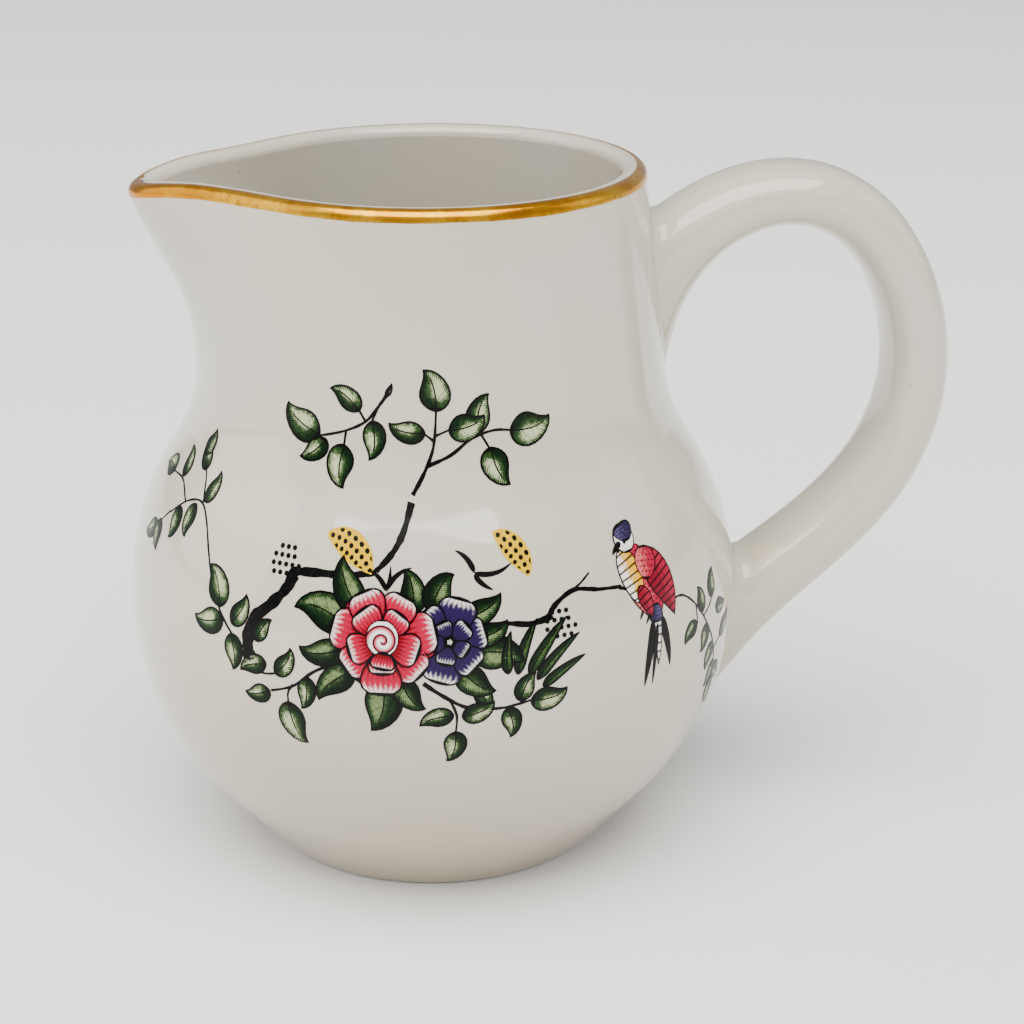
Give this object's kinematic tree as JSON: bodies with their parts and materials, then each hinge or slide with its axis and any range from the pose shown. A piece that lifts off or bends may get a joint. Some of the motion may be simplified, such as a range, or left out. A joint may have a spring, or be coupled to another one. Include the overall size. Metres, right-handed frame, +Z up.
{
  "type": "cream jug",
  "caption": "Porcelain cream jug with a round belly, narrow neck, pouring lip, looped strap handle, gold edge line and enamel flower spray with a small bird.",
  "frame": {"origin": "middle of the base on the jug's own axis, in the plane of the foot ring", "axes": "+Z up, +X towards the handle, -X towards the pouring lip, -Y towards the decorated side"},
  "size_m": [0.1141, 0.0843, 0.0946],
  "materials": {
    "glazed_porcelain": "warm white porcelain under a clear gloss glaze",
    "joint_slip": "slip of the same porcelain under the glaze",
    "gold_line": "burnished gold fired on the glaze",
    "overglaze_enamel": "green, rose, plum, yellow and black enamels fired on the glaze"
  },
  "bodies": {
    "root": {"jug_body": "glazed_porcelain", "handle": "glazed_porcelain", "upper_handle_joint": "joint_slip", "lower_handle_joint": "joint_slip", "gilt_rim_band": "gold_line", "flower_spray_transfer": "overglaze_enamel", "bird_transfer": "overglaze_enamel", "left_sprig_transfer": "overglaze_enamel", "right_sprig_transfer": "overglaze_enamel", "upper_left_sprig_transfer": "overglaze_enamel", "upper_right_sprig_transfer": "overglaze_enamel"}
  },
  "joints": []
}
